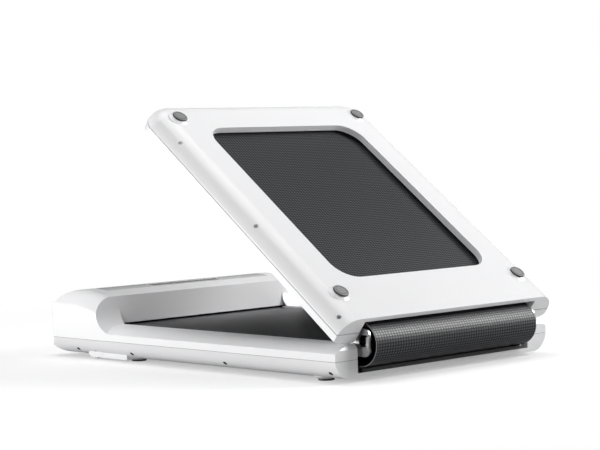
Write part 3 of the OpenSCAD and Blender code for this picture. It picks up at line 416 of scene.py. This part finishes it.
def moulding(name, node, body, material, width, seamPlace=None):
    # One packed form, with its flat faces joined up and its sharp edges rounded
    bm = bmesh.new()
    bm.from_mesh(nodes[node].data)
    bmesh.ops.remove_doubles(bm, verts=bm.verts, dist=rounding["weld"])
    bmesh.ops.dissolve_limit(
        bm, angle_limit=rounding["flatAngle"], verts=bm.verts, edges=bm.edges,
        delimit={"NORMAL"},
    )
    bm.normal_update()
    materials = [material]
    if seamPlace is not None:
        cutSeam(bm, seamPlace)
        materials += [seamShade, recessShade]
    sharp = [
        edge for edge in bm.edges
        if len(edge.link_faces) == 2 and edge.calc_face_angle(0) > rounding["sharpAngle"]
        and not any(face.material_index == materialIndex["seam"] for face in edge.link_faces)
    ]
    bevelEdges(bm, sharp, width, rounding["segments"])
    if node == "front_lower_cover":
        shadeHoles(bm, seamPlace)
    obj = meshObject(name, bm, materials)
    weigh = obj.modifiers.new("weighNormals", "WEIGHTED_NORMAL")
    weigh.keep_sharp = True
    weigh.weight = rounding["normalWeight"]
    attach(obj, body)
    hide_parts(node)


# Each piece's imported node, body, material slot and edge width
mouldings = {
    "frontUpperMoulding": ("front_upper_shell", "front_half", "white_shell", 0.0009),
    "frontLowerMoulding": ("front_lower_cover", "front_half", "white_shell", 0.0006),
    "rearUpperMoulding": ("rear_upper_shell", "rear_half", "white_shell", 0.0008),
    "rearLowerMoulding": ("rear_lower_cover", "rear_half", "white_shell", 0.0008),
    "topStrip": ("top_strip", "front_half", "gloss_white", 0.0004),
    "displayWindow": ("display_window", "front_half", "smoked", 0.0002),
    "hingeLinks": ("hinge_links", "hinge_link", "bright_steel", 0.0004),
    "hingeTieRod": ("hinge_tie_rod", "hinge_link", "bright_steel", 0.0004),
    "frontHingeBrackets": ("front_hinge_brackets", "front_half", "bright_steel", 0.0004),
    "rearHingeBrackets": ("rear_hinge_brackets", "rear_half", "bright_steel", 0.0004),
    "frontHingePins": ("front_hinge_pins", "front_half", "bright_steel", 0.0005),
    "rearHingePins": ("rear_hinge_pins", "rear_half", "bright_steel", 0.0005),
    "frontFrame": ("front_frame", "front_half", "dark_paint", 0.0012),
    "rearFrame": ("rear_frame", "rear_half", "dark_paint", 0.0012),
    "beltGuide": ("front_belt_guide", "front_half", "dark_paint", 0.0003),
    "mainsInlet": ("mains_inlet", "front_half", "black_plastic", 0.0006),
    "switchFrame": ("switch_frame", "front_half", "black_plastic", 0.0004),
    "switchRocker": ("switch_rocker", "rocker_body", "black_plastic", 0.0004),
    "frontCoverScrews": ("front_cover_screws", "front_half", "bright_steel", 0.0002),
}
seamPlaces = {
    "frontUpperMoulding": frontPlace,
    "frontLowerMoulding": frontPlace,
    "rearUpperMoulding": rearPlace,
    "rearLowerMoulding": rearPlace,
}
# The front cover's screws take the near-black heads as painted shade
ownMaterials = {"frontCoverScrews": screwHeadShade}
for name, (node, body, slotName, width) in mouldings.items():
    material = ownMaterials.get(name, look[slotName])
    moulding(name, node, body, material, width, seamPlaces.get(name))
print("mouldings done")


# The feet, turned from a profile

foot = {
    "radius": 0.014,
    "seat": -0.061,
    "height": 0.0035,
    "side": 0.229,
    "stations": (0.0675, 0.5705),
    "taper": (0.0002, 0.0006),
    "rim": 0.0012,
    "rimSteps": 6,
    "ring": (0.0030, 0.0034, 0.0042, 0.0046),
    "ringDepth": 0.0005,
    "middle": 0.0004,
    "turnSteps": 48,
    "weld": 0.000001,
    "soleFacing": 0.8,
}


def footProfile():
    # Points of (radius, height): a tapered side, a rounded rim and a shallow ring in the sole
    edge, tall, rim = foot["radius"], foot["height"], foot["rim"]
    profile = [(edge - foot["taper"][0], 0), (edge, foot["taper"][1])]
    for step in range(foot["rimSteps"] + 1):
        angle = math.radians(90 / foot["rimSteps"] * step)
        profile.append((edge - rim + rim * math.cos(angle), tall - rim + rim * math.sin(angle)))
    depths = (0, foot["ringDepth"], foot["ringDepth"], 0)
    profile += [(edge - inset, tall - depth) for inset, depth in zip(foot["ring"], depths)]
    return profile + [(foot["middle"], tall), (0, tall)]


def turned(bm, profile, place):
    # A profile of (radius, height) points spun round Z and put in its place
    before = set(bm.verts)
    points = [bm.verts.new((radius, 0, height)) for radius, height in profile]
    lines = [bm.edges.new(pair) for pair in zip(points, points[1:])]
    bmesh.ops.spin(
        bm, geom=points + lines, cent=(0, 0, 0), axis=(0, 0, 1), angle=2 * math.pi,
        steps=foot["turnSteps"], use_merge=True,
    )
    made = [vert for vert in bm.verts if vert not in before]
    bmesh.ops.remove_doubles(bm, verts=made, dist=foot["weld"])
    made = [vert for vert in bm.verts if vert not in before]
    bmesh.ops.transform(bm, matrix=place, verts=made)


def buildFeet(name, node, body, place):
    # Rubber pads, whose sole gets a lighter rubber as painted light
    bm = bmesh.new()
    down = Matrix.Rotation(math.pi, 4, "X")
    for side in (-1, 1):
        for station in foot["stations"]:
            spot = Matrix.Translation((side * foot["side"], station, foot["seat"]))
            turned(bm, footProfile(), place @ spot @ down)
    bmesh.ops.recalc_face_normals(bm, faces=bm.faces)
    sole = (place.to_3x3() @ Vector((0, 0, -1))).normalized()
    bm.normal_update()
    # Faces turned to the sole take the painted-light rubber
    for face in bm.faces:
        face.material_index = 1 if face.normal.dot(sole) > foot["soleFacing"] else 0
    obj = meshObject(name, bm, [look["rubber"], footSolePaintedLight], 50.0)
    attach(obj, body)
    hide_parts(node)


buildFeet("frontFeet", "front_feet", "front_half", frontPlace)
buildFeet("rearFeet", "rear_feet", "rear_half", rearPlace)
print("feet done")


# The belt, swept along its run from short edges across its width

belt = {
    "width": 0.415,
    "thickness": 0.0016,
    "columns": 24,
    "drop": 0.003,
    "returnDrop": 0.041,
    "rollerRadius": 0.0174,
    "rollerZ": -0.022,
    "driveY": 0.668,
    "tailY": 0.582,
    "loopRadius": 0.038,
    "foldRadius": 0.0075,
    "smoothAngle": 60.0,
    "frontSteps": 60,
    "rearSteps": 50,
    "rollerSteps": 20,
    "loopSteps": 24,
    "foldSteps": 10,
    "foldSpan": (0.42, 0.48),
}


def crossing(z):
    # Where a circle at that height between the halves has its centre, along each half
    angle = pad["open"]
    a = pad["axisIn"]
    rearY = a - a * math.cos(angle) + a * math.sin(angle)
    rearZ = pad["linkLength"] - a - a * math.sin(angle) - a * math.cos(angle)
    y = rearY + ((z - rearZ) * math.cos(angle) + z) / math.sin(angle)
    along = (y - rearY) * math.cos(angle) + (z - rearZ) * math.sin(angle)
    return y, along


def arcPoint(y, z, radius, angle):
    return (y + radius * math.cos(angle), z + radius * math.sin(angle))


def thicken(obj):
    # Turns the sheet into a slab, with the light cut edge on the belt's long sides only
    modifier = obj.modifiers.new("thickness", "SOLIDIFY")
    modifier.thickness = belt["thickness"]
    modifier.offset = 0
    modifier.material_offset_rim = 1
    bpy.context.view_layer.update()
    solid = obj.evaluated_get(bpy.context.evaluated_depsgraph_get())
    mesh = bpy.data.meshes.new_from_object(solid)
    obj.modifiers.clear()
    obj.data = mesh
    for face in mesh.polygons:
        if abs(face.normal.x) < 0.5:
            face.material_index = 0
    mesh.set_sharp_from_angle(angle=math.radians(belt["smoothAngle"]))


def beltPiece(name, place, moves, startPoint, runStart):
    # One stretch of belt. Each move is ("line", dy, steps) or ("arc", y, z, degrees, steps)
    bm = bmesh.new()
    half = belt["width"] / 2
    run = bm.verts.layers.float.new("runLength")
    start = [
        bm.verts.new((-half + belt["width"] * i / belt["columns"], *startPoint))
        for i in range(belt["columns"] + 1)
    ]
    for vert in start:
        vert[run] = runStart
    edges = [bm.edges.new(pair) for pair in zip(start, start[1:])]
    travelled = runStart
    for kind, *values, steps in moves:
        if kind == "line":
            shift = Vector((0, values[0], 0)) / steps
            stride = shift.length
        else:
            centre = Vector((0, values[0], values[1]))
            angle = math.radians(values[2]) / steps
            lead = edges[0].verts[0].co
            stride = abs(angle) * math.hypot(lead.y - centre.y, lead.z - centre.z)
            turn = Matrix.Rotation(angle, 4, "X")
        for _ in range(steps):
            grown = bmesh.ops.extrude_edge_only(bm, edges=edges)["geom"]
            verts = [item for item in grown if isinstance(item, bmesh.types.BMVert)]
            edges = [
                item for item in grown
                if isinstance(item, bmesh.types.BMEdge) and all(v in verts for v in item.verts)
            ]
            if kind == "line":
                bmesh.ops.translate(bm, verts=verts, vec=shift)
            else:
                bmesh.ops.rotate(bm, verts=verts, cent=centre, matrix=turn.to_3x3())
            travelled += stride
            for vert in verts:
                vert[run] = travelled
    uv = bm.loops.layers.uv.new("run")
    for face in bm.faces:
        for loop in face.loops:
            loop[uv].uv = (loop.vert.co.x, loop.vert[run])
    bm.transform(place)
    obj = meshObject(name, bm, [look["belt"], beltEdge], belt["smoothAngle"])
    thicken(obj)
    return obj, travelled


# The outer loop and the inner fold each run half round a circle that touches both halves
halfThickness = belt["thickness"] / 2
rollerPath = belt["rollerRadius"] + halfThickness
loopPath = belt["loopRadius"] - halfThickness
foldPath = belt["foldRadius"] + halfThickness
loopZ = belt["loopRadius"] - belt["returnDrop"]
loopY, loopRearY = crossing(loopZ)
foldZ = belt["foldRadius"] - belt["drop"]
foldY, foldRearY = crossing(foldZ)
halfArc = (180 - math.degrees(pad["open"])) / 2
middleAngle = math.radians(270 - halfArc)
rearAngle = math.radians(90 + math.degrees(pad["open"]))
loopFrontPoint = (loopY, loopZ - loopPath)
loopMiddle = arcPoint(loopY, loopZ, loopPath, middleAngle)
loopRearPoint = arcPoint(loopY, loopZ, loopPath, rearAngle)
foldFrontPoint = (foldY, foldZ - foldPath)
foldMiddle = arcPoint(foldY, foldZ, foldPath, middleAngle)
foldRearPoint = arcPoint(foldY, foldZ, foldPath, rearAngle)

frontRun, runEnd = beltPiece(
    "beltFront", frontPlace,
    [
        ("line", belt["driveY"] - foldY, belt["frontSteps"]),
        ("arc", belt["driveY"], belt["rollerZ"], -180, belt["rollerSteps"]),
        ("line", loopY - belt["driveY"], belt["frontSteps"]),
    ],
    (foldY, belt["rollerZ"] + rollerPath), 0.0,
)
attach(frontRun, "front_half")
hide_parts("front_belt")
loopTurn = [("arc", loopY, loopZ, -halfArc, belt["loopSteps"])]
loopFront, runEnd = beltPiece("beltLoopFront", frontPlace, loopTurn, loopFrontPoint, runEnd)
loopRear, runEnd = beltPiece("beltLoopRear", frontPlace, loopTurn, loopMiddle, runEnd)
rearRun, runEnd = beltPiece(
    "beltRear", rearPlace,
    [
        ("line", belt["tailY"] - loopRearY, belt["rearSteps"]),
        ("arc", belt["tailY"], belt["rollerZ"], 180, belt["rollerSteps"]),
        ("line", foldRearY - belt["tailY"], belt["rearSteps"]),
    ],
    (loopRearY, belt["rollerZ"] - rollerPath), runEnd,
)
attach(rearRun, "rear_half")
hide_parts("rear_belt")
foldTurn = [("arc", foldY, foldZ, halfArc, belt["foldSteps"])]
foldRear, runEnd = beltPiece("beltFoldRear", frontPlace, foldTurn, foldRearPoint, runEnd)
foldFront, runEnd = beltPiece("beltFoldFront", frontPlace, foldTurn, foldMiddle, runEnd)


def bend(obj, start, end, node):
    # Bakes the stretch's placement into its mesh and hides the packed node
    start, end = frontPoint(0, *start), frontPoint(0, *end)
    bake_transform(obj)
    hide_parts(node)


bend(loopFront, loopFrontPoint, loopMiddle, "belt_loop")
bend(loopRear, loopMiddle, loopRearPoint, "belt_loop")
bend(foldRear, foldMiddle, foldRearPoint, "belt_fold")
bend(foldFront, foldFrontPoint, foldMiddle, "belt_fold")
print("belt done")


# Stage: a pale floor, a white backdrop and soft lamps

stageSettings = {
    "floorSize": 30,
    "floorTone": 0.6,
    "floorLift": 0.42,
    "fadeStart": 0.75,
    "fadeEnd": 1.5,
    "ambient": 0.08,
    "ambientTint": (0.98, 0.99, 1.0, 1),
}


def buildFloor():
    # A pale floor that keeps the shadow near the object and runs to plain white further out
    bm = bmesh.new()
    bmesh.ops.create_grid(bm, x_segments=1, y_segments=1, size=stageSettings["floorSize"])
    material, tree, output = newTree("paleFloor")
    paper = addNode(tree, "ShaderNodeBsdfDiffuse")
    paper.inputs["Color"].default_value = (*[stageSettings["floorTone"]] * 3, 1)
    seen = addNode(tree, "ShaderNodeLightPath").outputs["Is Camera Ray"]
    glow = addNode(tree, "ShaderNodeEmission")
    lift = mathNode(tree, "MULTIPLY", seen, stageSettings["floorLift"])
    tree.links.new(lift, glow.inputs["Strength"])
    both = addNode(tree, "ShaderNodeAddShader")
    tree.links.new(paper.outputs["BSDF"], both.inputs[0])
    tree.links.new(glow.outputs["Emission"], both.inputs[1])
    place = addNode(tree, "ShaderNodeTexCoord")
    reach = addNode(tree, "ShaderNodeVectorMath", operation="LENGTH")
    tree.links.new(place.outputs["Object"], reach.inputs[0])
    fade = addNode(tree, "ShaderNodeMapRange", interpolation_type="SMOOTHSTEP")
    fade.inputs["From Min"].default_value = stageSettings["fadeStart"]
    fade.inputs["From Max"].default_value = stageSettings["fadeEnd"]
    tree.links.new(reach.outputs["Value"], fade.inputs["Value"])
    white = addNode(tree, "ShaderNodeEmission")
    mix = addNode(tree, "ShaderNodeMixShader")
    tree.links.new(mathNode(tree, "MULTIPLY", fade.outputs["Result"], seen), mix.inputs["Fac"])
    tree.links.new(both.outputs["Shader"], mix.inputs[1])
    tree.links.new(white.outputs["Emission"], mix.inputs[2])
    tree.links.new(mix.outputs["Shader"], output.inputs["Surface"])
    floor = meshObject("floor", bm, [material])


def buildWorld():
    # Plain white to the camera, and a faint even light on the object
    world = bpy.data.worlds.new("studio")
    bpy.context.scene.world = world
    world.use_nodes = True
    tree = world.node_tree
    tree.nodes.clear()
    output = addNode(tree, "ShaderNodeOutputWorld")
    seen = addNode(tree, "ShaderNodeBackground")
    seen.inputs["Color"].default_value = (1, 1, 1, 1)
    lit = addNode(tree, "ShaderNodeBackground")
    lit.inputs["Color"].default_value = stageSettings["ambientTint"]
    lit.inputs["Strength"].default_value = stageSettings["ambient"]
    mix = addNode(tree, "ShaderNodeMixShader")
    rays = addNode(tree, "ShaderNodeLightPath")
    tree.links.new(rays.outputs["Is Camera Ray"], mix.inputs["Fac"])
    tree.links.new(lit.outputs["Background"], mix.inputs[1])
    tree.links.new(seen.outputs["Background"], mix.inputs[2])
    tree.links.new(mix.outputs["Shader"], output.inputs["Surface"])


# The gloss panel only shows in reflections, and the inner lamps never do
lamps = {
    "topSoftbox": {
        "place": (-0.1, 0.3, 3.1), "aim": (0, 0, 0.1), "size": (2.4, 2.4), "power": 65,
    },
    "rightSoftbox": {
        "place": (2.35, -2.0, 1.9), "aim": (0, -0.3, 0.1), "size": (1.2, 2.0), "power": 84,
    },
    "leftSoftbox": {
        "place": (-2.1, 2.8, 0.4), "aim": (0, 0, 0.12), "size": (2.4, 0.8), "power": 80,
    },
    "innerLeft": {
        "place": (-1.5, -0.5, 0.28), "aim": (0, 0.26, 0.08), "size": (0.6, 0.3), "power": 5.4,
        "fillOnly": True,
    },
    "innerRight": {
        "place": (2.6, -1.1, 0.45), "aim": (-0.1, 0.26, 0.1), "size": (0.6, 0.3), "power": 8.5,
        "fillOnly": True,
    },
    "glossPanel": {
        "place": (2.35, -1.9, 1.95), "aim": (0, -0.35, 0.1), "size": (1.0, 1.6), "power": 170,
        "glossOnly": True,
    },
}


def buildLamp(name, settings):
    data = bpy.data.lights.new(name, "AREA")
    data.shape = "RECTANGLE"
    data.size, data.size_y = settings["size"]
    data.energy = settings["power"]
    lamp = bpy.data.objects.new(name, data)
    lamp.location = settings["place"]
    lamp.visible_diffuse = not settings.get("glossOnly", False)
    lamp.visible_glossy = not settings.get("fillOnly", False)
    aim = Vector(settings["aim"]) - Vector(settings["place"])
    lamp.rotation_euler = aim.to_track_quat("-Z", "Y").to_euler()
    bpy.context.scene.collection.objects.link(lamp)


view = {
    "place": (-2.4014, -2.5422, 0.3999),
    "azimuth": math.radians(-43.612),
    "elevation": math.radians(2.528),
    "roll": math.radians(-1.67),
    "lens": 111.2,
    "sensor": 36,
}


def buildCamera():
    # A camera at the photo's angle, with the photo's slight roll
    azimuth, elevation, roll = view["azimuth"], view["elevation"], view["roll"]
    back = Vector((
        math.sin(azimuth) * math.cos(elevation),
        -math.cos(azimuth) * math.cos(elevation),
        math.sin(elevation),
    ))
    right = (-back).cross(Vector((0, 0, 1))).normalized()
    up = right.cross(-back)
    rightRolled = right * math.cos(roll) + up * math.sin(roll)
    upRolled = up * math.cos(roll) - right * math.sin(roll)
    data = bpy.data.cameras.new("photoCamera")
    data.lens = view["lens"]
    data.sensor_width = view["sensor"]
    camera = bpy.data.objects.new("photoCamera", data)
    turn = Matrix((rightRolled, upRolled, back)).transposed().to_4x4()
    camera.matrix_world = Matrix.Translation(view["place"]) @ turn
    bpy.context.scene.collection.objects.link(camera)
    bpy.context.scene.camera = camera


buildFloor()
buildWorld()
for name, settings in lamps.items():
    buildLamp(name, settings)
buildCamera()
bpy.context.scene.view_settings.view_transform = "Standard"
print("stage done")
